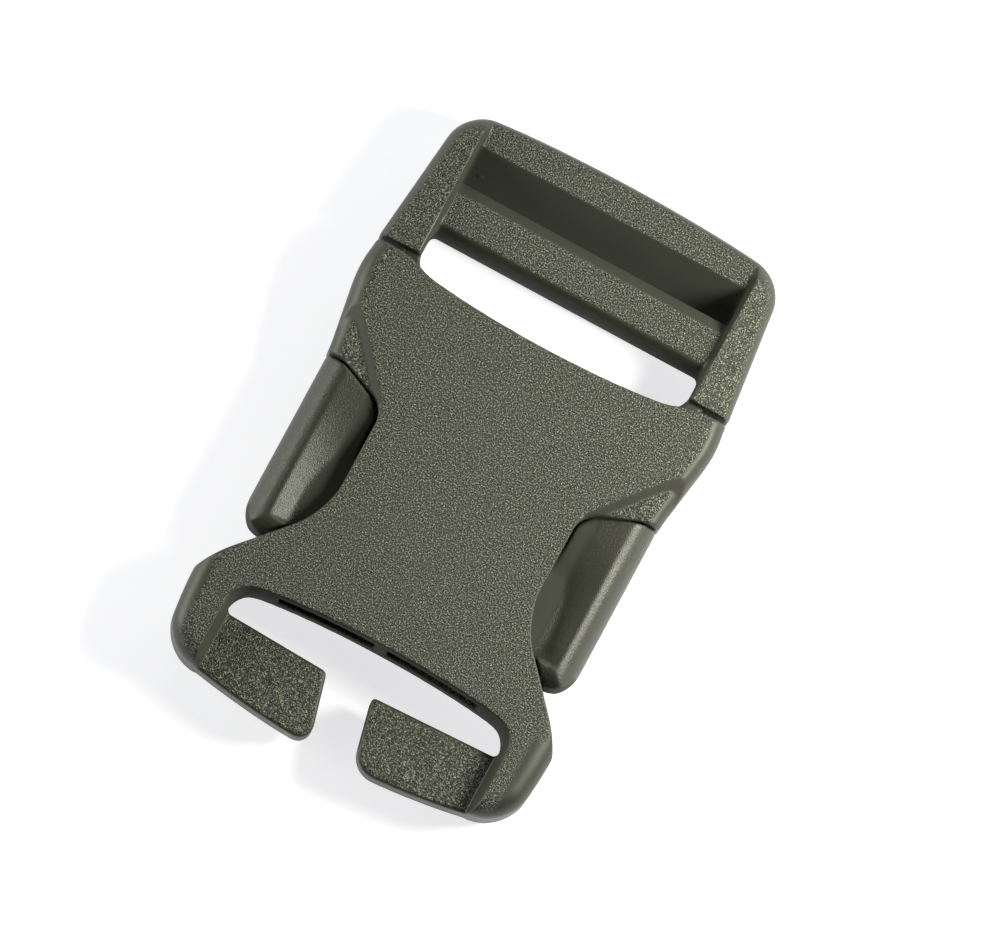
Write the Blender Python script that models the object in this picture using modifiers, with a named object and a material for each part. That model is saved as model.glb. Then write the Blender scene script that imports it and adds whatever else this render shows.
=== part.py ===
"""Side release buckle for 38 mm webbing, fastened and lying flat.

Two mouldings: the socket, a hollow waisted body with side windows and a split
bar, and the plug, an adjuster frame with a neck, two latch arms with release
pads and a guide tongue. The origin is under the middle of the buckle, +Y runs
to the adjuster end and +Z is up. Tables are in millimetres.
"""

import math

import bpy
import bmesh
from mathutils import Vector

MM = 0.001

# Heights
BODY_HEIGHT = 11.4 * MM
MID_HEIGHT = BODY_HEIGHT / 2
WALL = 1.8 * MM
GAP = 0.4 * MM
FRAME_HEIGHT = 10.6 * MM
BAR_HEIGHT = 8.0 * MM
PRONG_HEIGHT = 5.2 * MM
PAD_HEIGHT = 9.6 * MM
ARM_HEIGHT = BODY_HEIGHT - 2 * WALL - 2 * GAP
TONGUE_HEIGHT = 4.6 * MM
CORE_HEIGHT = 5.4 * MM
BEYOND = 3.0 * MM

# Widths
SLOT_HALF = 19.65 * MM
RELIEF_HALF = 19.4 * MM
NECK_HALF = 21.7 * MM
CORE_NEAR = 0.9 * MM
CORE_FAR = 14.6 * MM

# Places along the buckle
PARTING = 20.6 * MM
NECK_BACK = 13.6 * MM
CAVITY_BACK = -23.4 * MM
PRONG_EDGE = -31.9 * MM

# Roundings
BODY_ROUND = 3.2 * MM
FRAME_ROUND = 4.4 * MM
PRONG_ROUND = 0.8 * MM
PAD_ROUND = 2.4 * MM
ARC_STEP = math.radians(11)

# Colours of the mould's plastic
OLIVE = (0.055, 0.058, 0.044, 1.0)
OLIVE_PLUG = (0.053, 0.057, 0.042, 1.0)

# Outlines, right half: x, y, and how far from the corner its arc begins
BODY_SIDE = (
    (25.4, 30.0, 0.0),
    (25.6, 19.2, 0.8),
    (26.12, 16.2, 2.0),
    (24.05, 3.5, 3.0),
    (26.15, -24.0, 3.0),
    (26.15, -31.0, 2.5),
    (25.2, -39.25, 4.4),
    (0.0, -43.95, 20.6),
)
FRAME_SIDE = (
    (26.35, 14.0, 0.0),
    (23.4, 40.6, 4.3),
    (0.0, 42.88, 18.4),
)
MOUTH_EDGE = (
    (28.0, 34.0, 0.0),
    (28.0, 20.1, 0.0),
    (20.4, 19.7, 1.6),
    (17.6, 18.55, 0.9),
    (0.0, 16.15, 16.5),
)
WEBBING_SLOT = (
    (19.65, 24.6, 0.8),
    (19.65, 18.3, 3.2),
    (0.0, 15.8, 16.4),
)
SPLIT_SLOT = (
    (0.0, -25.25, 16.6),
    (19.8, -27.95, 3.1),
    (19.8, -32.0, 0.9),
    (0.0, -32.8, 0.0),
)
WINDOW = (
    (30.0, 3.4, 0.0),
    (22.8, 3.9, 1.5),
    (14.45, 0.45, 2.2),
    (14.45, -14.7, 4.4),
    (24.6, -26.0, 2.0),
    (27.4, -31.0, 0.0),
    (30.0, -31.0, 0.0),
)
CAVITY = (
    (22.1, 30.0, 0.0),
    (22.1, -23.4, 4.0),
)
PAD = (
    (24.15, 6.0, 0.0),
    (24.15, -21.0, 3.8),
    (12.6, -21.0, 0.0),
    (12.6, 6.0, 0.0),
)
ARM = (
    (19.7, 15.0, 0.0),
    (19.7, 4.4, 2.0),
    (21.7, 1.4, 1.2),
    (21.7, -20.9, 3.4),
    (12.6, -20.9, 2.0),
    (12.6, -2.4, 3.0),
    (16.5, 2.4, 2.0),
    (16.5, 15.0, 0.0),
)
TONGUE = (
    (4.6, 15.0, 0.0),
    (3.4, 9.0, 3.0),
    (3.0, -16.0, 2.0),
    (0.0, -17.6, 0.0),
)

# Prongs of the split bar, whole: x, y, and how far from the corner its arc begins
LEFT_PRONG = (
    (-20.8, -31.9, 0.0),
    (-4.7, -32.55, 0.6),
    (-2.2, -42.1, 2.8),
    (-12.9, -41.5, 6.5),
    (-20.8, -40.0, 0.0),
)
RIGHT_PRONG = (
    (20.8, -31.9, 0.0),
    (1.95, -32.6, 0.6),
    (4.15, -42.1, 2.8),
    (12.9, -41.55, 5.0),
    (20.8, -40.1, 0.0),
)

# Sections: place across the section and height
ADJUSTER_SLOT = (
    (38.35, 12.0),
    (34.0, 12.0),
    (25.7, -1.0),
    (30.0, -1.0),
)
MID_BAR_CHAMFER = (
    (34.0, 12.0),
    (26.85, 12.0),
    (31.83, 8.6),
)
PAD_SCOOP = (
    (21.9, 11.2),
    (19.6, 9.35),
    (17.4, 8.7),
    (10.0, 8.6),
    (10.0, 13.0),
    (21.9, 13.0),
)

# Shoulder facet: where its ridge starts and ends, and how it falls away
RIDGE_TOP = (25.5, 13.4)
RIDGE_FOOT = (14.45, 0.42)
RIDGE_STEP = 0.35 * MM
FACET_FALL = math.radians(11)
FACET_LENGTH = 22.0 * MM
FACET_WIDTH = 14.0 * MM


def remove_everything():
    for item in list(bpy.data.objects):
        bpy.data.objects.remove(item, do_unlink=True)


def new_collection(name):
    group = bpy.data.collections.new(name)
    bpy.context.scene.collection.children.link(group)
    return group


def arc_at(before, corner, after, run):
    """Points of the arc that rounds a corner, tangent to both sides."""
    if run == 0.0:
        return [corner]
    back = (before - corner).normalized()
    ahead = (after - corner).normalized()
    half = back.angle(ahead) / 2
    radius = run * math.tan(half)
    centre = corner + (back + ahead).normalized() * (run / math.cos(half))
    start = corner + back * run - centre
    turn = math.pi - 2 * half
    side = 1.0 if back.cross(ahead) < 0 else -1.0
    steps = max(2, math.ceil(turn / ARC_STEP), math.ceil(radius * turn / (6.0 * MM)))
    first = math.atan2(start.y, start.x)
    angles = [first + side * turn * step / steps for step in range(steps + 1)]
    return [centre + radius * Vector((math.cos(a), math.sin(a))) for a in angles]


def outline(rows):
    """A closed outline in metres from rows of x, y and arc run."""
    corners = [Vector((x, y)) * MM for x, y, run in rows]
    points = []
    for index, (x, y, run) in enumerate(rows):
        before = corners[index - 1]
        after = corners[(index + 1) % len(corners)]
        if (run + rows[index - 1][2]) * MM > (before - corners[index]).length:
            raise ValueError(f"the arcs at {rows[index - 1]} and {rows[index]} overlap")
        points += arc_at(before, corners[index], after, run * MM)
    return points


def both_sides(rows):
    """The rows of a right half followed by its mirror image."""
    return list(rows) + [(-x, y, run) for x, y, run in reversed(rows) if x != 0.0]


def on_the_left(rows):
    return [(-x, y, run) for x, y, run in reversed(rows)]


def shrunk(points, distance):
    """The outline moved inward by a distance, corner by corner."""
    count = len(points)
    area = sum(points[i - 1].cross(points[i]) for i in range(count))
    side = -1.0 if area > 0 else 1.0
    moved = []
    for index, point in enumerate(points):
        back = (point - points[index - 1]).normalized()
        ahead = (points[(index + 1) % count] - point).normalized()
        along = (back + ahead).normalized()
        across = Vector((along.y, -along.x)) * side
        moved.append(point + across * distance / max(0.5, along.dot(back)))
    return moved


def material(name, colour, roughness):
    finish = bpy.data.materials.new(name)
    finish.use_nodes = True
    shader = finish.node_tree.nodes["Principled BSDF"]
    shader.inputs["Base Color"].default_value = colour
    shader.inputs["Roughness"].default_value = roughness
    shader.inputs["Metallic"].default_value = 0.0
    return finish


def extruded(name, points, low, high, group):
    """A plate of an outline between two heights, made from a filled curve."""
    data = bpy.data.curves.new(name, "CURVE")
    data.dimensions = "2D"
    data.fill_mode = "BOTH"
    data.extrude = (high - low) / 2
    spline = data.splines.new("POLY")
    spline.points.add(len(points) - 1)
    for node, point in zip(spline.points, points):
        node.co = (point.x, point.y, 0.0, 1.0)
    spline.use_cyclic_u = True
    curve = bpy.data.objects.new(name + "_outline", data)
    curve.location.z = (high + low) / 2
    group.objects.link(curve)
    bpy.context.view_layer.update()
    graph = bpy.context.evaluated_depsgraph_get()
    mesh = bpy.data.meshes.new_from_object(curve.evaluated_get(graph))
    mesh.transform(curve.matrix_world)
    bpy.data.objects.remove(curve, do_unlink=True)
    work = bmesh.new()
    work.from_mesh(mesh)
    bmesh.ops.remove_doubles(work, verts=work.verts, dist=0.00001)
    bmesh.ops.recalc_face_normals(work, faces=work.faces)
    bmesh.ops.dissolve_limit(
        work, angle_limit=math.radians(0.5), verts=work.verts, edges=work.edges
    )
    work.to_mesh(mesh)
    work.free()
    plate = bpy.data.objects.new(name, mesh)
    group.objects.link(plate)
    return plate


def sideways(name, section, near, far, group):
    """A bar along X of a section given as rows of y and z."""
    points = [Vector((y, z)) * MM for y, z in section]
    bar = extruded(name, points, near, far, group)
    for vertex in bar.data.vertices:
        y, z, x = vertex.co
        vertex.co = (x, y, z)
    return bar


def lengthways(name, section, near, far, group):
    """A bar along Y of a section given as rows of x and z."""
    points = [Vector((x, z)) * MM for x, z in section]
    bar = extruded(name, points, near, far, group)
    for vertex in bar.data.vertices:
        x, z, y = vertex.co
        vertex.co = (x, y, z)
    bar.data.flip_normals()
    return bar


def block(name, low, high, group):
    """A box between two corners."""
    work = bmesh.new()
    bmesh.ops.create_cube(work, size=1.0)
    size = Vector(high) - Vector(low)
    bmesh.ops.scale(work, vec=size, verts=work.verts)
    bmesh.ops.translate(work, vec=(Vector(high) + Vector(low)) / 2, verts=work.verts)
    mesh = bpy.data.meshes.new(name)
    work.to_mesh(mesh)
    work.free()
    box = bpy.data.objects.new(name, mesh)
    group.objects.link(box)
    return box


def upside_down(source, group):
    """A copy turned over about the buckle's mid height."""
    mesh = source.data.copy()
    for vertex in mesh.vertices:
        vertex.co.z = BODY_HEIGHT - vertex.co.z
    mesh.flip_normals()
    twin = bpy.data.objects.new(source.name + "_under", mesh)
    group.objects.link(twin)
    return twin


def on_other_side(source, group):
    """A copy mirrored across the buckle's length."""
    mesh = source.data.copy()
    for vertex in mesh.vertices:
        vertex.co.x = -vertex.co.x
    mesh.flip_normals()
    twin = bpy.data.objects.new(source.name + "_left", mesh)
    group.objects.link(twin)
    return twin


def round_rims(piece, radius, segments):
    """Rounds the upper and the lower rim of a plate, and no upright edge."""
    mesh = piece.data
    weights = mesh.attributes.new("bevel_weight_edge", "FLOAT", "EDGE")
    for edge in mesh.edges:
        first, second = (mesh.vertices[index].co.z for index in edge.vertices)
        weights.data[edge.index].value = 1.0 if abs(first - second) < 0.1 * MM else 0.0
    bevel = piece.modifiers.new("rounding", "BEVEL")
    bevel.width = radius
    bevel.segments = segments
    bevel.limit_method = "WEIGHT"
    bevel.use_clamp_overlap = False


def combine(piece, other, operation):
    step = piece.modifiers.new(other.name, "BOOLEAN")
    step.operation = operation
    step.solver = "EXACT"
    step.object = other
    other.hide_render = True
    other.display_type = "WIRE"


def centred(height):
    """The lowest and highest level of something centred on the mid height."""
    return MID_HEIGHT - height / 2, MID_HEIGHT + height / 2


def facet_cutter(group):
    """A wedge above the right shoulder, on the outer side of its ridge."""
    foot = Vector(RIDGE_FOOT) * MM
    along = (Vector(RIDGE_TOP) * MM - foot).normalized()
    outward = Vector((along.y, -along.x))
    level = BODY_HEIGHT - RIDGE_STEP
    work = bmesh.new()
    bmesh.ops.create_cube(work, size=1.0)
    for vertex in work.verts:
        ahead = FACET_LENGTH * (vertex.co.x + 0.5)
        out = FACET_WIDTH * (vertex.co.y + 0.5)
        spot = foot + along * ahead + outward * out
        floor = level - out * math.tan(FACET_FALL)
        vertex.co = (spot.x, spot.y, floor if vertex.co.z < 0 else BODY_HEIGHT + BEYOND)
    bmesh.ops.reverse_faces(work, faces=work.faces)
    mesh = bpy.data.meshes.new("shoulder_facet")
    work.to_mesh(mesh)
    work.free()
    wedge = bpy.data.objects.new("shoulder_facet", mesh)
    group.objects.link(wedge)
    return wedge


def with_copies(source, group):
    """A shape with its copies underneath and on the other side."""
    shapes = [source, upside_down(source, group)]
    return shapes + [on_other_side(shape, group) for shape in shapes]


def make_socket(parts, cutters):
    under, over = -BEYOND, BODY_HEIGHT + BEYOND
    body = extruded("socket_body", outline(both_sides(BODY_SIDE)), 0.0, BODY_HEIGHT, parts)
    body.data.materials.append(material("socket_plastic", OLIVE, 0.5))
    round_rims(body, BODY_ROUND, 4)

    mouth = extruded("mouth", outline(both_sides(MOUTH_EDGE)), under, over, cutters)
    combine(body, mouth, "DIFFERENCE")
    for side, rows in (("right", WINDOW), ("left", on_the_left(WINDOW))):
        window = extruded("window_" + side, outline(rows), under, over, cutters)
        combine(body, window, "DIFFERENCE")
    for wedge in with_copies(facet_cutter(cutters), cutters):
        combine(body, wedge, "DIFFERENCE")

    slot = extruded("split_slot", outline(both_sides(SPLIT_SLOT)), under, over, cutters)
    combine(body, slot, "DIFFERENCE")
    split = block("split_bar_room", (-SLOT_HALF, -50.0 * MM, under),
                  (SLOT_HALF, PRONG_EDGE, over), cutters)
    combine(body, split, "DIFFERENCE")
    low, high = centred(PRONG_HEIGHT)
    for side, rows in (("left", LEFT_PRONG), ("right", RIGHT_PRONG)):
        prong = extruded("prong_" + side, outline(rows), low, high, cutters)
        round_rims(prong, PRONG_ROUND, 2)
        combine(body, prong, "UNION")

    cavity = extruded("cavity", outline(both_sides(CAVITY)), WALL, BODY_HEIGHT - WALL, cutters)
    combine(body, cavity, "DIFFERENCE")
    low, high = centred(CORE_HEIGHT)
    for side, near, far in (("right", CORE_NEAR, CORE_FAR), ("left", -CORE_FAR, -CORE_NEAR)):
        core = block("core_" + side, (near, -29.0 * MM, low),
                     (far, CAVITY_BACK + BEYOND, high), cutters)
        combine(body, core, "DIFFERENCE")
    return body


def make_plug(parts, cutters):
    under, over = -BEYOND, BODY_HEIGHT + BEYOND
    low, high = centred(FRAME_HEIGHT)
    plug = extruded("plug_frame", outline(both_sides(FRAME_SIDE)), low, high, parts)
    plug.data.materials.append(material("plug_plastic", OLIVE_PLUG, 0.45))
    round_rims(plug, FRAME_ROUND, 5)

    beyond_parting = block("beyond_parting", (-30.0 * MM, 0.0, under),
                           (30.0 * MM, PARTING, over), cutters)
    combine(plug, beyond_parting, "DIFFERENCE")
    low, high = centred(BAR_HEIGHT)
    for name, floor, roof in (("above_bars", high, over), ("below_bars", under, low)):
        relief = block(name, (-RELIEF_HALF, 10.0 * MM, floor),
                       (RELIEF_HALF, 50.0 * MM, roof), cutters)
        combine(plug, relief, "DIFFERENCE")

    low, high = centred(ARM_HEIGHT)
    neck = block("neck", (-NECK_HALF, NECK_BACK, low), (NECK_HALF, PARTING + BEYOND, high), cutters)
    combine(plug, neck, "UNION")
    slot = extruded("webbing_slot", outline(both_sides(WEBBING_SLOT)), under, over, cutters)
    combine(plug, slot, "DIFFERENCE")
    adjuster = sideways("adjuster_slot", ADJUSTER_SLOT, -SLOT_HALF, SLOT_HALF, cutters)
    combine(plug, adjuster, "DIFFERENCE")
    chamfer = sideways("mid_bar_chamfer", MID_BAR_CHAMFER, -SLOT_HALF, SLOT_HALF, cutters)
    combine(plug, chamfer, "DIFFERENCE")

    tongue_low, tongue_high = centred(TONGUE_HEIGHT)
    tongue = extruded("tongue", outline(both_sides(TONGUE)), tongue_low, tongue_high, cutters)
    combine(plug, tongue, "UNION")

    scoop = lengthways("pad_scoop", PAD_SCOOP, -17.8 * MM, 8.0 * MM, cutters)
    scoops = with_copies(scoop, cutters)
    for side, turn in (("right", list), ("left", on_the_left)):
        arm = extruded("arm_" + side, outline(turn(ARM)), low, high, cutters)
        combine(plug, arm, "UNION")
        pad_low, pad_high = centred(PAD_HEIGHT)
        pad = extruded("pad_" + side, outline(turn(PAD)), pad_low, pad_high, cutters)
        round_rims(pad, PAD_ROUND, 4)
        inside = shrunk(outline(turn(WINDOW)), GAP)
        room = extruded("pad_room_" + side, inside, under, over, cutters)
        combine(pad, room, "INTERSECT")
        for shape in scoops:
            if shape.name.endswith("_left") == (side == "left"):
                combine(pad, shape, "DIFFERENCE")
        combine(plug, pad, "UNION")
    return plug


def main():
    remove_everything()
    parts = new_collection("side_release_buckle")
    cutters = new_collection("cutters")
    make_socket(parts, cutters)
    make_plug(parts, cutters)


main()
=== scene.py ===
"""Side release buckle in olive drab plastic, fastened and lying on white paper.

The two mouldings are modelled in millimetres as solids that are added to and
cut from each other, softened as a mould softens its edges, and then scaled to
metres. +Y runs to the adjuster end and +Z is up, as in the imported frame.
"""

import math

import bmesh
import bpy
from mathutils import Matrix, Vector


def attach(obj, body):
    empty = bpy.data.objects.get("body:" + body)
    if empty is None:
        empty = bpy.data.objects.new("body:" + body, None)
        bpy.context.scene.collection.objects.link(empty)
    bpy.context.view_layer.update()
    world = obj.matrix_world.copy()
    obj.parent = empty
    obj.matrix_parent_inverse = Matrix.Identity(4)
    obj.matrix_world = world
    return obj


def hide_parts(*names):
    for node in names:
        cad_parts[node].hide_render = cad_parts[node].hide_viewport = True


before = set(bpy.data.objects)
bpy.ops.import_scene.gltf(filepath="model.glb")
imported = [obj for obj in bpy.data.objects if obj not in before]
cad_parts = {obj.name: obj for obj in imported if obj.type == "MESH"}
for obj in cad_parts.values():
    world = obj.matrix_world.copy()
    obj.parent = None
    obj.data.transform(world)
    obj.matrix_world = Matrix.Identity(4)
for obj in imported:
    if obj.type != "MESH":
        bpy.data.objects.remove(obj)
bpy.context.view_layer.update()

bl_info = {
    "name": "Side Release Buckle",
    "version": (1, 0, 0),
    "blender": (4, 5, 0),
    "location": "3D View > Sidebar > Buckle",
    "description": "Models a fastened side release buckle with its finish and its stage",
    "category": "Add Mesh",
}

MM = 0.001

# Heights, in millimetres
BODY_HEIGHT = 11.4
MID_HEIGHT = BODY_HEIGHT / 2
WALL = 1.8
FRAME_HEIGHT = 10.6
BAR_HEIGHT = 8.0
PRONG_HEIGHT = 5.2
PAD_HEIGHT = 9.6
ARM_HEIGHT = 7.4
TONGUE_HEIGHT = 4.6
CORE_HEIGHT = 5.4
BEYOND = 3.0
OVERLAP = 0.3

# Places and widths
SLOT_HALF = 19.65
RELIEF_HALF = 19.4
NECK_HALF = 21.7
NECK_BACK = 13.6
PARTING = 20.6
CAVITY_BACK = -23.4
PRONG_EDGE = -31.9
CORE_NEAR = 0.9
CORE_FAR = 14.6
CORE_BACK = -29.0
RELIEF_FROM = 10.0
PAST_SIDES = 30.0
PAST_ENDS = 50.0

# Roundings and draught
BODY_ROUND = 2.8
FRAME_ROUND = 3.2
PRONG_ROUND = 0.5
RAIL_DRAUGHT = (0.985, 1.05)
ADJUSTER_DRAUGHT = (1.0, 1.04)
ARC_TURN = math.radians(6)
ARC_PIECE = 1.2

# Outlines, right half: x, y, and how far from the corner its arc begins
BODY_SIDE = (
    (25.4, 30.0, 0.0),
    (25.6, 19.2, 0.8),
    (26.12, 16.2, 2.0),
    (24.05, 3.5, 3.0),
    (26.15, -24.0, 3.0),
    (26.15, -31.0, 2.5),
    (25.2, -39.25, 4.4),
    (0.0, -43.95, 20.6),
)
FRAME_SIDE = (
    (26.35, 14.0, 0.0),
    (23.4, 40.6, 4.3),
    (0.0, 42.88, 18.4),
)
MOUTH_EDGE = (
    (28.0, 34.0, 0.0),
    (28.0, 20.1, 0.0),
    (20.4, 19.7, 1.6),
    (17.6, 18.55, 0.9),
    (0.0, 16.15, 16.5),
)
WEBBING_SLOT = (
    (19.65, 24.6, 0.8),
    (19.65, 18.3, 3.2),
    (0.0, 15.8, 16.4),
)
SPLIT_SLOT = (
    (0.0, -25.25, 16.6),
    (19.8, -27.95, 3.1),
    (19.8, -32.0, 0.9),
    (0.0, -32.8, 0.0),
)
SPLIT_ROOM = (
    (0.0, -25.4, 16.6),
    (19.7, -28.1, 3.1),
    (19.7, -50.0, 0.0),
)
WINDOW = (
    (30.0, 3.4, 0.0),
    (22.8, 4.1, 1.5),
    (14.45, 0.75, 2.2),
    (14.45, -14.7, 4.4),
    (24.6, -26.0, 2.0),
    (27.4, -31.0, 0.0),
    (30.0, -31.0, 0.0),
)
WINDOW_INSIDE = (
    (30.0, 3.0, 0.0),
    (22.75, 3.9, 1.5),
    (14.65, 0.6, 2.1),
    (14.65, -14.62, 4.35),
    (24.95, -25.8, 2.0),
    (27.4, -30.2, 0.0),
    (30.0, -30.2, 0.0),
)
CAVITY = (
    (22.1, 30.0, 0.0),
    (22.1, -23.4, 4.0),
)
PAD = (
    (24.15, 6.0, 0.0),
    (24.15, -21.0, 3.8),
    (12.6, -21.0, 0.0),
    (12.6, 6.0, 0.0),
)
ARM = (
    (19.7, 15.0, 0.0),
    (19.7, 4.4, 2.0),
    (21.7, 1.4, 1.2),
    (21.7, -20.9, 3.4),
    (12.6, -20.9, 2.0),
    (12.6, -2.4, 3.0),
    (16.5, 2.4, 2.0),
    (16.5, 15.0, 0.0),
)
TONGUE = (
    (4.6, 15.0, 0.0),
    (3.4, 9.0, 3.0),
    (3.0, -16.0, 2.0),
    (0.0, -17.6, 0.0),
)
LEFT_PRONG = (
    (-20.8, -31.9, 0.0),
    (-4.7, -32.55, 0.6),
    (-2.2, -42.1, 2.8),
    (-12.9, -41.5, 6.5),
    (-20.8, -40.0, 0.0),
)
RIGHT_PRONG = (
    (20.8, -31.9, 0.0),
    (1.95, -32.6, 0.6),
    (4.15, -42.1, 2.8),
    (12.9, -41.55, 5.0),
    (20.8, -40.1, 0.0),
)

# Sections of bars along X: y and z
ADJUSTER_SLOT = ((38.35, 12.0), (34.0, 12.0), (25.7, -1.0), (30.0, -1.0))
MID_BAR_CHAMFER = ((34.0, 12.0), (26.85, 12.0), (31.83, 8.6))
MID_BAR_ROUND = (
    (22.0, 12.0),
    (25.9, 12.0),
    (25.9, 9.7),
    (25.3, 9.5),
    (24.95, 8.9),
    (24.8, 8.0),
    (24.62, 6.0),
    (22.0, 6.0),
)
MOULDING_PIP = (-17.8, 34.1, 5.35)
PIP_RADIUS = 0.3

# Section of what is cut above a rail of the adjuster frame, x and z, and its ends
RAIL_SLOPE = ((19.0, 13.0), (19.0, 11.2), (28.0, 9.2), (28.0, 13.0))
RAIL_SLOPE_ENDS = (12.0, 46.0)

# Upper half of a pad's section across, x and z, and lengthwise, y and z, each
# drawn out between two ends and kept where they cross
PAD_ACROSS = (
    (11.0, 5.7),
    (11.0, 10.5),
    (21.1, 10.5),
    (21.5, 10.4),
    (22.1, 10.12),
    (22.6, 9.7),
    (23.1, 9.1),
    (23.6, 8.3),
    (23.95, 7.4),
    (24.15, 6.3),
    (24.15, 5.7),
)
PAD_ALONG = (
    (7.0, 5.7),
    (7.0, 10.5),
    (-18.7, 10.5),
    (-19.4, 10.25),
    (-20.0, 9.85),
    (-20.5, 9.25),
    (-20.85, 8.4),
    (-21.0, 7.4),
    (-21.0, 5.7),
)

PAD_ACROSS_ENDS = (-22.0, 8.0)
PAD_ALONG_ENDS = (10.0, 26.0)

# Finger scoop of a pad: its crest, how far inward it falls, and its depth at
# places along Y. Past the crest and above it, the cutting shape has room.
PAD_TOP = 10.5
CREST = 21.0
CREST_ROOM = (2.0, 1.5)
SCOOP_END = 10.0
SCOOP_REACH = 4.3
SCOOP_STEPS = 8
SCOOP_CURVE = 1.15
SCOOP_DEPTHS = (
    (8.0, 0.3),
    (2.0, 0.3),
    (-1.0, 0.36),
    (-4.0, 0.65),
    (-7.0, 1.05),
    (-10.0, 1.4),
    (-13.0, 1.65),
    (-15.0, 1.7),
    (-17.0, 1.6),
    (-18.4, 1.25),
)

# Shoulder: its ridge, how far it is sunk, and its band's size and ends
RIDGE_TOP = Vector((25.3, 13.7))
RIDGE_FOOT = Vector((14.3, 0.5))
SHOULDER_DROP = 0.85
SHOULDER_ROUND = 2.4
BAND_DEPTH = 4.4
BAND_WIDTH = 1.3
BAND_PLACES = (0.2, 22.0)
SHOULDER_WIDTH = 14.0
SHOULDER_ROOM = 1.001

# Where the plastic's finish changes, in millimetres from the middle: each pair
# is where a mask begins and where it is full, or the other way about
SOCKET_RAILS_X = (20.3, 21.2)
SOCKET_RAILS_Y = (-31.0, -27.0)
# Where the grain and its painted glints are left off the lower rails' outer edges, further in on
# the right than on the left
SOCKET_SKIN = (2.2, 2.5)
BARE_LEFT = (-24.4, -23.4)
BARE_RIGHT = (21.6, 23.2)
BARE_Y = (-29.0, -25.5)
PLUG_RAILS_X = (20.2, 21.0)
ADJUSTER_Y = (20.2, 21.0)
CHAMFER_Y = (26.0, 27.0)
PADS_X = (17.0, 17.5)
PADS_Y = (8.0, 10.0)
PAD_ENDS_Y = (-18.6, -17.8)
WITHIN_X = (20.0, 20.8)
WITHIN_Y = (38.5, 39.5)

# How level the surface is where the finish changes, from 0 to 1
STEEP = (0.2, 0.6)
SLOPED = (0.86, 0.93)
PLATES_LEVEL = (0.88, 0.96)
BARS_LEVEL = (0.93, 0.985)
SOCKET_RAILS_LEVEL = (0.45, 0.9)
PLUG_RAILS_LEVEL = (0.5, 0.95)

# The plastic's shine and what varies it
ROUGHNESS = 0.47
ROUGHEST = 0.95
GRAIN_ROUGHNESS = 0.10
CLOUD_ROUGHNESS = 0.08
FINE_ROUGHNESS = 0.06
WALL_ROUGHNESS = 0.45
PAD_SHINE = 0.04
PAD_RELIEF = 0.25
CLOUD_PITCH = 6.0 * MM
FINE_HEIGHT = 0.004 * MM
GRAIN_LEVELS = (0.30, 0.76)
# Grain colour as shares of the grained colour: near black in its pits, and painted glints many
# times lighter on its highest bumps
GRAIN_GLINT_SHADES = (0.04, 11.0)
CLOUD_SHADES = (0.88, 1.12)

# The paper's fibres and glow
FIBRE_PITCH = 1.5 * MM
FIBRE_SHADES = (0.985, 1.0)
PAPER_GLOW = 1.48

# Lights: azimuth and elevation in degrees, distance, size and colour
KEY_LIGHT = (20.0, 43.0, 0.17, 0.06, (1.0, 0.99, 0.96))
FILL_LIGHT = (190.0, 8.0, 0.5, 0.35, (0.98, 1.0, 0.95))

# Room light: how far its direction points along Y where it begins and is full,
# and how far upward where it fades and is gone
ROOM_AHEAD = (0.45, 0.95)
ROOM_LOW = (0.4, 0.7)

# The camera's lens, and how far its aim lies from the middle of the buckle
SENSOR = 36.0
LENS = 558.0
AIM_ACROSS = 2.93 * MM
AIM_UP = -0.34 * MM


class BuckleShape(bpy.types.PropertyGroup):
    """How finely the mouldings are made."""

    detail: bpy.props.FloatProperty(
        name="Detail",
        description="Size of the cells that the mouldings are softened in, in millimetres",
        default=0.17,
        min=0.1,
        max=1.0,
    )
    softness: bpy.props.IntProperty(
        name="Softness",
        description="How many passes round the moulded edges",
        default=14,
        min=0,
        max=60,
    )
    triangles: bpy.props.IntProperty(
        name="Triangles",
        description="The most triangles in one moulding",
        default=188000,
        min=10000,
        max=199000,
    )


class BuckleFinish(bpy.types.PropertyGroup):
    """The plastic's colours and grain."""

    smooth: bpy.props.FloatVectorProperty(
        name="Smooth plastic",
        description="Colour of the polished walls and roundings",
        subtype="COLOR",
        size=3,
        min=0.0,
        max=1.0,
        default=(0.025, 0.026, 0.016),
    )
    grained: bpy.props.FloatVectorProperty(
        name="Grained plastic",
        description="Colour of the spark-eroded level faces",
        subtype="COLOR",
        size=3,
        min=0.0,
        max=1.0,
        default=(0.029, 0.031, 0.0205),
    )
    pitch: bpy.props.FloatProperty(
        name="Grain pitch",
        description="How far apart the bumps of the grain stand",
        subtype="DISTANCE",
        unit="LENGTH",
        default=0.19 * MM,
        min=0.05 * MM,
        max=2.0 * MM,
    )
    depth: bpy.props.FloatProperty(
        name="Grain depth",
        description="How high the bumps of the grain stand",
        subtype="DISTANCE",
        unit="LENGTH",
        default=0.08 * MM,
        min=0.0,
        max=0.5 * MM,
    )


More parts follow.
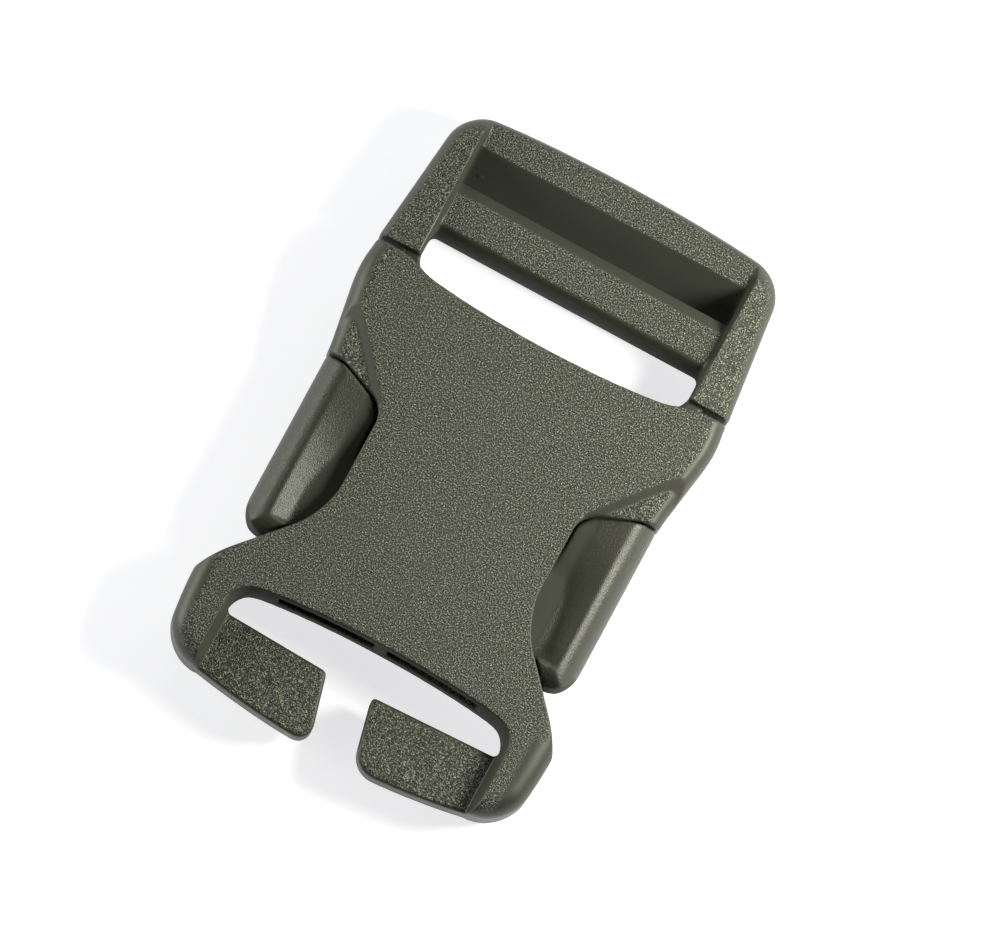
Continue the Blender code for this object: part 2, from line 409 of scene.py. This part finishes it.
class BuckleStage(bpy.types.PropertyGroup):
    """The floor, the lights and the camera."""

    floor: bpy.props.FloatVectorProperty(
        name="Floor",
        description="Colour of the paper that the buckle lies on",
        subtype="COLOR",
        size=3,
        min=0.0,
        max=1.0,
        default=(0.5, 0.5, 0.51),
    )
    key: bpy.props.FloatProperty(
        name="Key light",
        description="Power of the small soft light on the right",
        unit="POWER",
        default=0.58,
        min=0.0,
    )
    fill: bpy.props.FloatProperty(
        name="Fill light",
        description="Power of the large low light on the left",
        unit="POWER",
        default=3.4,
        min=0.0,
    )
    around: bpy.props.FloatProperty(
        name="Room light",
        description="Strength of the low light from beyond the adjuster end",
        default=2.9,
        min=0.0,
    )
    elevation: bpy.props.FloatProperty(
        name="Camera elevation",
        description="How far above the horizon the camera stands",
        subtype="ANGLE",
        unit="ROTATION",
        default=math.radians(82.0),
    )
    roll: bpy.props.FloatProperty(
        name="Camera roll",
        description="How far the camera is turned about its own line of sight",
        subtype="ANGLE",
        unit="ROTATION",
        default=math.radians(28.38),
    )
    distance: bpy.props.FloatProperty(
        name="Camera distance",
        description="How far the camera stands from the middle of the buckle",
        subtype="DISTANCE",
        unit="LENGTH",
        default=2.0,
    )


class Solid:
    """A closed mesh in millimetres that others are joined to or cut from."""

    def __init__(self, mesh):
        self.mesh = mesh

    def combined(self, other, operation):
        base = bpy.data.objects.new("base", self.mesh)
        tool = bpy.data.objects.new("tool", other.mesh)
        for item in (base, tool):
            bpy.context.scene.collection.objects.link(item)
        step = base.modifiers.new(operation.lower(), "BOOLEAN")
        step.operation = operation
        step.solver = "EXACT"
        step.object = tool
        graph = bpy.context.evaluated_depsgraph_get()
        result = Solid(bpy.data.meshes.new_from_object(base.evaluated_get(graph)))
        for item in (base, tool):
            bpy.data.objects.remove(item, do_unlink=True)
        return result

    def __add__(self, other):
        return self.combined(other, "UNION")

    def __sub__(self, other):
        return self.combined(other, "DIFFERENCE")

    def __and__(self, other):
        return self.combined(other, "INTERSECT")

    def turned(self, matrix):
        """A copy moved by a matrix, its faces still outward if it mirrors."""
        work = bmesh.new()
        work.from_mesh(self.mesh)
        bmesh.ops.transform(work, matrix=matrix, verts=work.verts)
        if matrix.determinant() < 0:
            bmesh.ops.reverse_faces(work, faces=work.faces)
        return solid(work)

    def on_the_left(self):
        return self.turned(Matrix.Diagonal((-1.0, 1.0, 1.0, 1.0)))

    def upside_down(self):
        return self.turned(
            Matrix.Translation((0.0, 0.0, BODY_HEIGHT)) @ Matrix.Diagonal((1.0, 1.0, -1.0, 1.0))
        )

    def all_round(self):
        """The solid with its copies on the left and underneath."""
        sides = [self, self.on_the_left()]
        return sides + [side.upside_down() for side in sides]


def solid(work):
    """Ends a bmesh as a solid."""
    mesh = bpy.data.meshes.new("solid")
    work.to_mesh(mesh)
    work.free()
    return Solid(mesh)


def both_sides(rows):
    """The rows of a right half followed by its mirror image."""
    return list(rows) + [(-x, y, run) for x, y, run in reversed(rows) if x != 0.0]


def on_the_left(rows):
    return [(-x, y, run) for x, y, run in reversed(rows)]


def round_edges(work, edges, offset, segments):
    bmesh.ops.bevel(
        work,
        geom=edges,
        offset=offset,
        offset_type="OFFSET",
        segments=segments,
        profile=0.5,
        affect="EDGES",
        clamp_overlap=False,
        material=-1,
    )


def arc_segments(rows, index):
    """How many pieces the arc at one corner of an outline needs."""
    x, y, run = rows[index]
    corner = Vector((x, y))
    back = Vector(rows[index - 1][:2]) - corner
    ahead = Vector(rows[(index + 1) % len(rows)][:2]) - corner
    turn = math.pi - back.angle(ahead)
    return max(3, math.ceil(turn / ARC_TURN), math.ceil(2.0 * run / ARC_PIECE))


def plate(rows, low, high, rim=0.0, rim_segments=8, draught=None):
    """A plate of an outline, its corners rounded, then its two rims.

    With draught, its foot and its top are stretched across by those shares.
    """
    work = bmesh.new()
    floor = work.faces.new([work.verts.new((x, y, low)) for x, y, run in rows])
    lifted = bmesh.ops.extrude_face_region(work, geom=[floor])["geom"]
    roof = [item for item in lifted if isinstance(item, bmesh.types.BMVert)]
    bmesh.ops.translate(work, vec=(0.0, 0.0, high - low), verts=roof)
    bmesh.ops.recalc_face_normals(work, faces=work.faces)
    for index, (x, y, run) in enumerate(rows):
        if run > 0.0:
            corner = Vector((x, y))
            upright = [
                edge for edge in work.edges
                if all((vert.co.xy - corner).length < 0.001 for vert in edge.verts)
            ]
            round_edges(work, upright, run, arc_segments(rows, index))
    if rim > 0.0:
        level = [
            edge for edge in work.edges
            if abs(edge.verts[0].co.z - edge.verts[1].co.z) < 0.001
        ]
        round_edges(work, level, rim, rim_segments)
    for level, stretch in zip((low, high), draught or ()):
        rim_verts = [vert for vert in work.verts if abs(vert.co.z - level) < 0.001]
        bmesh.ops.scale(work, vec=(stretch, 1.0, 1.0), verts=rim_verts)
    bmesh.ops.recalc_face_normals(work, faces=work.faces)
    return solid(work)


def block(low, high, draught=None):
    """A box between two corners."""
    (x0, y0, z0), (x1, y1, z1) = low, high
    rows = ((x0, y0, 0.0), (x1, y0, 0.0), (x1, y1, 0.0), (x0, y1, 0.0))
    return plate(rows, z0, z1, draught=draught)


def lofted(sections):
    """A solid through closed loops of corners, as many in each loop."""
    work = bmesh.new()
    loops = []
    for section in sections:
        corners = [work.verts.new(spot) for spot in section]
        loops.append([work.edges.new((corners[i - 1], corners[i])) for i in range(len(corners))])
    for near, far in zip(loops, loops[1:]):
        bmesh.ops.bridge_loops(work, edges=near + far)
    for end in (loops[0], loops[-1]):
        bmesh.ops.contextual_create(work, geom=end)
    bmesh.ops.recalc_face_normals(work, faces=work.faces)
    return solid(work)


def bar_along_x(section, reach):
    """A bar across the buckle of a section given as rows of y and z."""
    return lofted([[(x, y, z) for y, z in section] for x in (-reach, reach)])


def ball(centre, radius):
    """A small ball, such as the pip that a mould leaves."""
    work = bmesh.new()
    bmesh.ops.create_icosphere(
        work, subdivisions=2, radius=radius, matrix=Matrix.Translation(centre)
    )
    return solid(work)


def centred(height):
    """The lowest and highest level of something centred on the mid height."""
    return MID_HEIGHT - height / 2, MID_HEIGHT + height / 2


def shoulder_wedge():
    """What is cut above the right shoulder, down a sloped band from its ridge."""
    along = (RIDGE_TOP - RIDGE_FOOT).normalized()
    outward = Vector((along.y, -along.x))
    slope = BAND_WIDTH / SHOULDER_DROP
    section = (
        (-slope, BODY_HEIGHT + 1.0),
        (slope * BAND_DEPTH, BODY_HEIGHT - BAND_DEPTH),
        (SHOULDER_WIDTH, BODY_HEIGHT - BAND_DEPTH),
        (SHOULDER_WIDTH, BODY_HEIGHT + 1.0),
    )
    sections = []
    for ahead in BAND_PLACES:
        foot = RIDGE_FOOT + along * ahead
        spots = [(foot + outward * out, height) for out, height in section]
        sections.append([(spot.x, spot.y, height) for spot, height in spots])
    return lofted(sections)


def pad_scoop():
    """The hollow for a fingertip above the right pad."""
    sections = []
    over = BODY_HEIGHT + BEYOND
    past = CREST + CREST_ROOM[0]
    for place, depth in SCOOP_DEPTHS:
        section = [(SCOOP_END, over), (past, over), (past, PAD_TOP + CREST_ROOM[1])]
        for step in range(SCOOP_STEPS + 1):
            share = step / SCOOP_STEPS
            fall = 1.0 - (1.0 - share) ** SCOOP_CURVE
            section.append((CREST - share * SCOOP_REACH, PAD_TOP - depth * fall))
        section.append((SCOOP_END, PAD_TOP - depth))
        sections.append([(x, place, z) for x, z in section])
    return lofted(sections)


def release_pad():
    """The right pad: its two sections and its outline, less its scoops."""
    across = lofted([[(x, y, z) for x, z in PAD_ACROSS] for y in PAD_ACROSS_ENDS])
    along = lofted([[(x, y, z) for y, z in PAD_ALONG] for x in PAD_ALONG_ENDS])
    upper = (across & along) - pad_scoop()
    low, high = centred(PAD_HEIGHT)
    room = plate(PAD, low, high) & plate(WINDOW_INSIDE, low - BEYOND, high + BEYOND)
    return room & (upper + upper.upside_down())


def softened(name, rough):
    """A finished object of a solid, its edges rounded as a mould leaves them."""
    shape = bpy.context.scene.buckle_shape
    piece = bpy.data.objects.new(name, rough.mesh)
    bpy.context.scene.collection.objects.link(piece)
    cells = piece.modifiers.new("cells", "REMESH")
    cells.mode = "VOXEL"
    cells.voxel_size = shape.detail
    rounding = piece.modifiers.new("rounding", "SMOOTH")
    rounding.factor = 0.5
    rounding.iterations = shape.softness
    apply_modifiers(piece)
    quads = len(piece.data.polygons)
    thinning = piece.modifiers.new("thinning", "DECIMATE")
    thinning.ratio = min(1.0, shape.triangles / (2.0 * quads))
    apply_modifiers(piece)
    piece.data.transform(Matrix.Scale(MM, 4))
    piece.data.shade_smooth()
    return piece


def apply_modifiers(piece):
    """Gives a piece the mesh that its modifiers make, and clears them."""
    graph = bpy.context.evaluated_depsgraph_get()
    piece.data = bpy.data.meshes.new_from_object(piece.evaluated_get(graph))
    piece.modifiers.clear()


def socket_solid():
    """The female half: body, mouth, windows, shoulders, split bar and hollow."""
    under, over = -BEYOND, BODY_HEIGHT + BEYOND
    body = plate(both_sides(BODY_SIDE), 0.0, BODY_HEIGHT, BODY_ROUND)
    shoulders = plate(
        both_sides(BODY_SIDE), SHOULDER_DROP, BODY_HEIGHT - SHOULDER_DROP, SHOULDER_ROUND
    ).turned(Matrix.Diagonal((SHOULDER_ROOM, SHOULDER_ROOM, 1.0, 1.0)))
    for wedge in (shoulder_wedge() - shoulders).all_round():
        body -= wedge
    body -= plate(both_sides(MOUTH_EDGE), under, over)
    for rows in (WINDOW, on_the_left(WINDOW)):
        body -= plate(rows, under, over)

    body -= plate(both_sides(SPLIT_SLOT), under, over)
    body -= block((-SLOT_HALF, -PAST_ENDS, under), (SLOT_HALF, PRONG_EDGE, over))
    low, high = centred(PRONG_HEIGHT)
    room = plate(
        both_sides(SPLIT_ROOM), high - OVERLAP, BODY_HEIGHT + OVERLAP, draught=RAIL_DRAUGHT
    )
    body = body - room - room.upside_down()
    for rows in (LEFT_PRONG, RIGHT_PRONG):
        body += plate(rows, low, high, PRONG_ROUND, 4)

    body -= plate(both_sides(CAVITY), WALL, BODY_HEIGHT - WALL)
    low, high = centred(CORE_HEIGHT)
    for near, far in ((CORE_NEAR, CORE_FAR), (-CORE_FAR, -CORE_NEAR)):
        body -= block((near, CORE_BACK, low), (far, CAVITY_BACK + BEYOND, high))
    return body


def plug_solid():
    """The male half: adjuster frame, neck, guide tongue, arms and pads."""
    under, over = -BEYOND, BODY_HEIGHT + BEYOND
    low, high = centred(FRAME_HEIGHT)
    plug = plate(both_sides(FRAME_SIDE), low, high, FRAME_ROUND, 10)
    plug -= block((-PAST_SIDES, 0.0, under), (PAST_SIDES, PARTING, over))
    slope = lofted([[(x, y, z) for x, z in RAIL_SLOPE] for y in RAIL_SLOPE_ENDS])
    for side in slope.all_round():
        plug -= side
    relief_low = MID_HEIGHT + BAR_HEIGHT / 2
    relief = block(
        (-RELIEF_HALF, RELIEF_FROM, relief_low),
        (RELIEF_HALF, PAST_ENDS, high + OVERLAP),
        ADJUSTER_DRAUGHT,
    )
    plug = plug - relief - relief.upside_down()

    low, high = centred(ARM_HEIGHT)
    plug += block((-NECK_HALF, NECK_BACK, low), (NECK_HALF, PARTING + BEYOND, high))
    plug -= plate(both_sides(WEBBING_SLOT), under, over)
    plug -= bar_along_x(ADJUSTER_SLOT, SLOT_HALF)
    plug -= bar_along_x(MID_BAR_CHAMFER, SLOT_HALF)
    plug -= bar_along_x(MID_BAR_ROUND, RELIEF_HALF)
    plug += ball(MOULDING_PIP, PIP_RADIUS)

    tongue_low, tongue_high = centred(TONGUE_HEIGHT)
    plug += plate(both_sides(TONGUE), tongue_low, tongue_high)

    for shape in (plate(ARM, low, high), release_pad()):
        plug = plug + shape + shape.on_the_left()
    return plug


class Number:
    """A number socket of a material that takes part in Python arithmetic."""

    def __init__(self, finish, socket):
        self.finish = finish
        self.socket = socket

    def maths(self, operation, *values):
        """A Math node with this socket among its values."""
        inputs = {place: value for place, value in enumerate(values)}
        node = self.finish.node("ShaderNodeMath", {"operation": operation}, inputs)
        return Number(self.finish, node.outputs[0])

    def __add__(self, other):
        return self.maths("ADD", self, other)

    __radd__ = __add__

    def __sub__(self, other):
        return self.maths("SUBTRACT", self, other)

    def __rsub__(self, other):
        return self.maths("SUBTRACT", other, self)

    def __mul__(self, other):
        return self.maths("MULTIPLY", self, other)

    __rmul__ = __mul__

    def __pow__(self, other):
        return self.maths("POWER", self, other)

    def __abs__(self):
        return self.maths("ABSOLUTE", self)

    def smaller(self, other):
        return self.maths("MINIMUM", self, other)

    def larger(self, other):
        return self.maths("MAXIMUM", self, other)

    def rising(self, low, high):
        """0 below low, 1 above high and smooth between them."""
        node = self.finish.node(
            "ShaderNodeMapRange",
            {"interpolation_type": "SMOOTHSTEP", "clamp": True},
            {"Value": self, "From Min": low, "From Max": high},
        )
        return Number(self.finish, node.outputs["Result"])

    def falling(self, low, high):
        return 1.0 - self.rising(low, high)


class Finish:
    """The nodes of one material, or of the room's light."""

    def __init__(self, owner, shader="Principled BSDF"):
        owner.use_nodes = True
        self.owner = owner
        self.tree = owner.node_tree
        self.shader = self.tree.nodes[shader]
        self.places = self.node("ShaderNodeTexCoord")

    def node(self, kind, settings=None, inputs=None):
        """Adds a node, sets its settings first, then sets or links its sockets."""
        node = self.tree.nodes.new(kind)
        for setting, value in (settings or {}).items():
            setattr(node, setting, value)
        self.feed(node, inputs or {})
        return node

    def feed(self, node, inputs):
        for name, value in inputs.items():
            if isinstance(value, Number):
                value = value.socket
            if isinstance(value, bpy.types.NodeSocket):
                self.tree.links.new(value, node.inputs[name])
            else:
                node.inputs[name].default_value = value

    def axes(self, vector):
        """The three numbers of a vector socket."""
        node = self.node("ShaderNodeSeparateXYZ", inputs={"Vector": vector})
        return [Number(self, socket) for socket in node.outputs]

    def spot(self):
        """The place on the buckle along X, Y and Z, in millimetres."""
        return [axis * (1.0 / MM) for axis in self.axes(self.places.outputs["Object"])]

    def level(self):
        """How level the surface is here, from 0 on a wall to 1 on a level face."""
        return abs(self.axes(self.places.outputs["Normal"])[2])

    def noise(self, pitch, detail, roughness, offset=0.0):
        """Cloudy noise with bumps a pitch apart, from 0 to 1."""
        moved = self.node(
            "ShaderNodeVectorMath",
            {"operation": "ADD"},
            {0: self.places.outputs["Object"], 1: (offset, offset, offset)},
        )
        node = self.node(
            "ShaderNodeTexNoise",
            inputs={
                "Vector": moved.outputs[0],
                "Scale": 1.0 / pitch,
                "Detail": detail,
                "Roughness": roughness,
            },
        )
        return Number(self, node.outputs[0])

    def mixed(self, share, first, second):
        """A colour that goes from the first to the second as share goes 0 to 1."""
        node = self.node(
            "ShaderNodeMix",
            {"data_type": "RGBA", "clamp_factor": True},
            {0: share, 6: first, 7: second},
        )
        return node.outputs[2]


def opaque(colour, gain):
    """A colour made lighter or darker, with nothing see-through."""
    return (*(min(1.0, part * gain) for part in colour), 1.0)


def shades(colour, gains):
    """A darker and a lighter shade of a colour."""
    return [opaque(colour, gain) for gain in gains]


def moulded_plastic(name, surface):
    """Olive plastic: polished walls, and grain where the surface has it, its highest bumps
    painted with bright glints.
    """
    colours = bpy.context.scene.buckle_finish
    finish = Finish(bpy.data.materials.new(name))
    grained, relief, dull = surface(finish)
    coarse = finish.noise(colours.pitch, 2.0, 0.6)
    fine = finish.noise(colours.pitch * 0.5, 1.0, 0.5, 0.31)
    cloud = finish.noise(CLOUD_PITCH, 3.0, 0.6, 0.7)
    grain = coarse.rising(*GRAIN_LEVELS)
    # The grain's colour runs from near black in its pits to painted glints, many times its own
    # colour, on its highest bumps
    grain_and_glint = finish.mixed(grain ** 3.0, *shades(colours.grained, GRAIN_GLINT_SHADES))
    smooth = finish.mixed(cloud, *shades(colours.smooth, CLOUD_SHADES))
    roughness = ROUGHNESS + GRAIN_ROUGHNESS * grained + CLOUD_ROUGHNESS * (cloud - 0.5)
    roughness = roughness + FINE_ROUGHNESS * (fine - 0.5) + dull
    bump = finish.node(
        "ShaderNodeBump",
        inputs={
            "Strength": 1.0,
            "Distance": 1.0,
            "Height": relief * grain * colours.depth + fine * FINE_HEIGHT,
        },
    )
    finish.feed(
        finish.shader,
        {
            "Base Color": finish.mixed(grained, smooth, grain_and_glint),
            "Roughness": roughness.smaller(ROUGHEST),
            "Normal": bump.outputs["Normal"],
            "IOR": 1.49,
            "Specular Tint": (0.97, 1.0, 0.88, 1.0),
        },
    )
    return finish.owner


def within(x, y):
    """1 between the rails and bars of the outline, where walls take no shine."""
    return abs(x).falling(*WITHIN_X) * abs(y).falling(*WITHIN_Y)


def socket_surface(finish):
    """Where the socket is grained, how high its relief is, and how dull it is.

    Grain lies on its level faces and on the tops of its lower rails, and is left off the outer
    edges of those rails, from further in on the right than on the left, which leaves those edges
    without painted glints.
    """
    x, y, z = finish.spot()
    level = finish.level()
    plates = level.rising(*PLATES_LEVEL)
    rails = level.rising(*SOCKET_RAILS_LEVEL) * abs(x).rising(*SOCKET_RAILS_X)
    rails = rails * y.falling(*SOCKET_RAILS_Y)
    skin = abs(z - MID_HEIGHT).rising(*SOCKET_SKIN)
    # Grain, and with it the painted glints, is left off the rails' outer edges, from further in
    # on the right
    edge = x.falling(*BARE_LEFT).larger(x.rising(*BARE_RIGHT))
    bare = edge * y.falling(*BARE_Y)
    grained = plates.larger(rails) * skin * (1.0 - bare)
    return grained, grained, WALL_ROUGHNESS * level.falling(*STEEP) * within(x, y)


def plug_surface(finish):
    """Where the plug is grained, how high its relief is, and how dull it is.

    Grain lies on its bars and rails. Its pads have a faint relief and a little
    more shine, and their ends and the mid bar's slope are dull.
    """
    x, y = finish.spot()[:2]
    level = finish.level()
    bars = level.rising(*BARS_LEVEL)
    rails = level.rising(*PLUG_RAILS_LEVEL) * abs(x).rising(*PLUG_RAILS_X)
    grained = bars.larger(rails) * y.rising(*ADJUSTER_Y)
    pads = y.falling(*PADS_Y) * abs(x).rising(*PADS_X)
    ends = y.falling(*PAD_ENDS_Y)
    sloped = level.falling(*SLOPED) * y.rising(*CHAMFER_Y)
    dull = level.falling(*STEEP).larger(sloped) * within(x, y).larger(ends)
    dull = WALL_ROUGHNESS * dull - PAD_SHINE * pads * (1.0 - ends)
    return grained, grained.larger(PAD_RELIEF * pads), dull


def dress(piece, material):
    """Gives a piece its one material."""
    piece.data.materials.clear()
    piece.data.materials.append(material)


class BUCKLE_OT_make_socket(bpy.types.Operator):
    """Makes the female half with its windows, shoulders and split bar"""

    bl_idname = "buckle.make_socket"
    bl_label = "Make Socket"
    bl_options = {"REGISTER", "UNDO"}

    def execute(self, context):
        piece = softened("socket_moulding", socket_solid())
        dress(piece, moulded_plastic("socket_plastic_moulded", socket_surface))
        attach(piece, "root")
        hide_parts("socket_body")
        return {"FINISHED"}


class BUCKLE_OT_make_plug(bpy.types.Operator):
    """Makes the male half with its adjuster frame, arms and release pads"""

    bl_idname = "buckle.make_plug"
    bl_label = "Make Plug"
    bl_options = {"REGISTER", "UNDO"}

    def execute(self, context):
        piece = softened("plug_moulding", plug_solid())
        dress(piece, moulded_plastic("plug_plastic_moulded", plug_surface))
        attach(piece, "root")
        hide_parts("plug_frame")
        return {"FINISHED"}


def make_floor(colour):
    """A wide sheet of white paper under the buckle."""
    work = bmesh.new()
    bmesh.ops.create_grid(work, x_segments=1, y_segments=1, size=3.0)
    mesh = bpy.data.meshes.new("paper")
    work.to_mesh(mesh)
    work.free()
    floor = bpy.data.objects.new("paper", mesh)
    bpy.context.scene.collection.objects.link(floor)
    paper = Finish(bpy.data.materials.new("white_paper"))
    fibres = paper.noise(FIBRE_PITCH, 3.0, 0.6)
    tone = paper.mixed(fibres, *shades(colour, FIBRE_SHADES))
    paper.feed(
        paper.shader,
        {
            "Base Color": tone,
            "Roughness": 0.9,
            "Specular IOR Level": 0.1,
            "Emission Color": tone,
            "Emission Strength": PAPER_GLOW,
        },
    )
    dress(floor, paper.owner)


def make_light(name, light_place, power):
    """A square soft light aimed at the middle of the buckle."""
    azimuth, elevation, distance, size, colour = light_place
    data = bpy.data.lights.new(name, "AREA")
    data.size = size
    data.energy = power
    data.color = colour
    light = bpy.data.objects.new(name, data)
    bpy.context.scene.collection.objects.link(light)
    turn, rise = math.radians(azimuth), math.radians(elevation)
    towards = Vector(
        (math.cos(turn) * math.cos(rise), math.sin(turn) * math.cos(rise), math.sin(rise))
    )
    light.location = towards * distance
    light.rotation_mode = "QUATERNION"
    light.rotation_quaternion = towards.to_track_quat("Z", "Y")


def room_light(strength):
    """Low light from beyond the adjuster end, and none from overhead."""
    room = Finish(bpy.data.worlds.new("room"), "Background")
    y, z = room.axes(room.places.outputs["Generated"])[1:]
    share = y.rising(*ROOM_AHEAD) * z.falling(*ROOM_LOW)
    room.feed(room.shader, {"Color": (0.98, 0.99, 1.0, 1.0), "Strength": share * strength})
    return room.owner


def make_camera(stage):
    """The photograph's camera: nearly overhead, and rolled."""
    data = bpy.data.cameras.new("camera")
    data.lens = LENS
    data.sensor_width = SENSOR
    camera = bpy.data.objects.new("camera", data)
    bpy.context.scene.collection.objects.link(camera)
    turn = Matrix.Rotation(math.pi / 2 - stage.elevation, 3, "X")
    turn = turn @ Matrix.Rotation(stage.roll, 3, "Z")
    across, up, back = (turn @ Vector(axis) for axis in ((1, 0, 0), (0, 1, 0), (0, 0, 1)))
    middle = Vector((0.0, 0.0, MID_HEIGHT * MM))
    camera.location = middle + back * stage.distance + across * AIM_ACROSS + up * AIM_UP
    camera.rotation_mode = "QUATERNION"
    camera.rotation_quaternion = turn.to_quaternion()
    data.clip_start = 0.01
    data.clip_end = 20.0
    bpy.context.scene.camera = camera


class BUCKLE_OT_make_stage(bpy.types.Operator):
    """Makes the white floor, the soft lights and the camera"""

    bl_idname = "buckle.make_stage"
    bl_label = "Make Stage"
    bl_options = {"REGISTER", "UNDO"}

    def execute(self, context):
        stage = context.scene.buckle_stage
        make_floor(stage.floor)
        make_light("key", KEY_LIGHT, stage.key)
        make_light("fill", FILL_LIGHT, stage.fill)
        context.scene.world = room_light(stage.around)
        context.scene.view_settings.view_transform = "Standard"
        make_camera(stage)
        return {"FINISHED"}


class BUCKLE_PT_panel(bpy.types.Panel):
    """Lists the buckle's pieces and their settings"""

    bl_idname = "BUCKLE_PT_panel"
    bl_label = "Side Release Buckle"
    bl_space_type = "VIEW_3D"
    bl_region_type = "UI"
    bl_category = "Buckle"

    def draw(self, context):
        layout = self.layout
        for settings in SETTINGS:
            box = layout.box()
            group = getattr(context.scene, settings)
            for name in SETTINGS[settings].__annotations__:
                box.prop(group, name)
        for operator in OPERATORS:
            layout.operator(operator.bl_idname)


SETTINGS = {
    "buckle_shape": BuckleShape,
    "buckle_finish": BuckleFinish,
    "buckle_stage": BuckleStage,
}
OPERATORS = (BUCKLE_OT_make_stage, BUCKLE_OT_make_socket, BUCKLE_OT_make_plug)


def register():
    for settings, group in SETTINGS.items():
        bpy.utils.register_class(group)
        setattr(bpy.types.Scene, settings, bpy.props.PointerProperty(type=group))
    for item in (*OPERATORS, BUCKLE_PT_panel):
        bpy.utils.register_class(item)


def unregister():
    for item in reversed((*OPERATORS, BUCKLE_PT_panel)):
        bpy.utils.unregister_class(item)
    for settings, group in SETTINGS.items():
        delattr(bpy.types.Scene, settings)
        bpy.utils.unregister_class(group)


def main():
    register()
    bpy.ops.buckle.make_stage()
    bpy.ops.buckle.make_socket()
    bpy.ops.buckle.make_plug()


if __name__ == "__main__":
    main()
